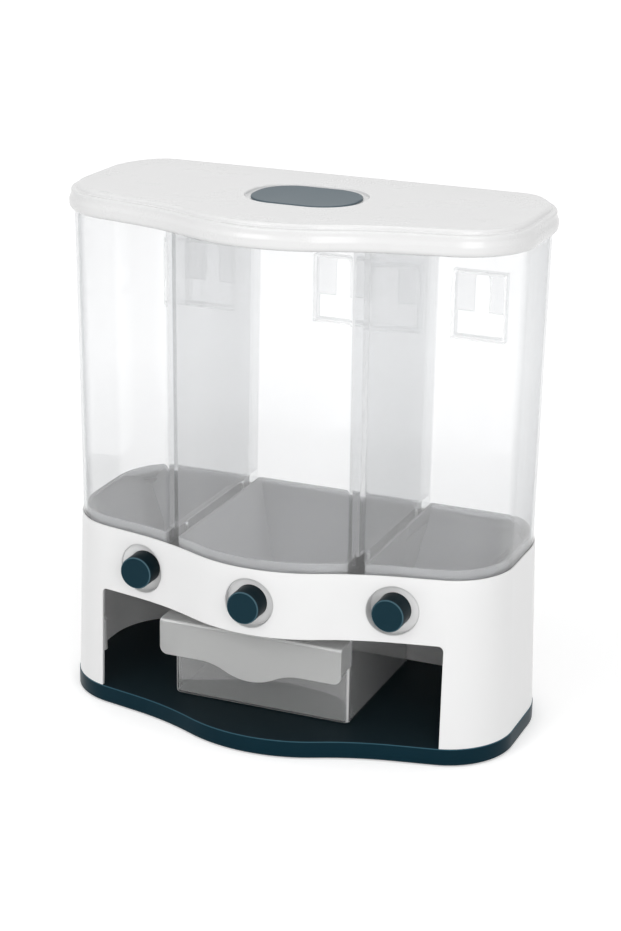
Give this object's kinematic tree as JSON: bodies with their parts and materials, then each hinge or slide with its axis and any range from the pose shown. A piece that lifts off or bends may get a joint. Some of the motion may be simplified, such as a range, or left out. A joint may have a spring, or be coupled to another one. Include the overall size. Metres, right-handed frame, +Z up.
{
  "type": "dry food dispenser",
  "caption": "Dry food dispenser with a wavy front: clear compartments under a lift-off lid, push buttons that slide gates, and a catch cup in a bay over a dark base plate.",
  "frame": {"origin": "middle of the overall box at the surface that the rubber feet stand on", "axes": "+Z up, front with the buttons faces -Y, +X to the right seen from the front"},
  "size_m": [0.3528, 0.1904, 0.3944],
  "materials": {
    "white_plastic": "glossy injection moulded white plastic",
    "clear_plastic": "clear polished plastic, faintly grey",
    "tray_plastic": "translucent grey plastic",
    "teal_plastic": "dark teal plastic, satin gloss",
    "base_plastic": "dark teal plastic with a fine matt top",
    "pad_plastic": "slate pad, satin",
    "frosted_plastic": "natural translucent plastic, slightly frosted",
    "rubber": "soft black rubber",
    "seal_rubber": "pale silicone rubber",
    "screw_steel": "zinc plated steel",
    "spring_steel": "spring steel wire"
  },
  "bodies": {
    "root": {"housing": "white_plastic", "base_plate": "base_plastic", "base_screws": "screw_steel", "rubber_feet": "rubber", "outlet_deck": "white_plastic", "deck_screws": "screw_steel", "hopper_tray": "tray_plastic", "bin": "clear_plastic", "bin_screws": "screw_steel", "left_spring": "spring_steel", "centre_spring": "spring_steel", "right_spring": "spring_steel"},
    "lid": {"lid": "white_plastic", "lid_gasket": "seal_rubber", "lid_handle": "pad_plastic"},
    "catch_cup": {"catch_cup": "frosted_plastic"},
    "left_push": {"left_button": "teal_plastic", "left_gate": "white_plastic", "left_button_screw": "screw_steel"},
    "centre_push": {"centre_button": "teal_plastic", "centre_gate": "white_plastic", "centre_button_screw": "screw_steel"},
    "right_push": {"right_button": "teal_plastic", "right_gate": "white_plastic", "right_button_screw": "screw_steel"}
  },
  "joints": [
    {"name": "lid_lift", "type": "slide", "parent": "root", "child": "lid", "axis": [0, 0, 1], "range_m": [0, 0.06]},
    {"name": "cup_pull", "type": "slide", "parent": "root", "child": "catch_cup", "axis": [0, -1, 0], "range_m": [0, 0.19]},
    {"name": "left_push", "type": "slide", "parent": "root", "child": "left_push", "axis": [0, 1, 0], "range_m": [0, 0.014], "stiffness_N_per_m": 180, "springref_m": -0.006, "deforming": ["left_spring"]},
    {"name": "centre_push", "type": "slide", "parent": "root", "child": "centre_push", "axis": [0, 1, 0], "range_m": [0, 0.014], "stiffness_N_per_m": 180, "springref_m": -0.006, "deforming": ["centre_spring"]},
    {"name": "right_push", "type": "slide", "parent": "root", "child": "right_push", "axis": [0, 1, 0], "range_m": [0, 0.014], "stiffness_N_per_m": 180, "springref_m": -0.006, "deforming": ["right_spring"]}
  ]
}
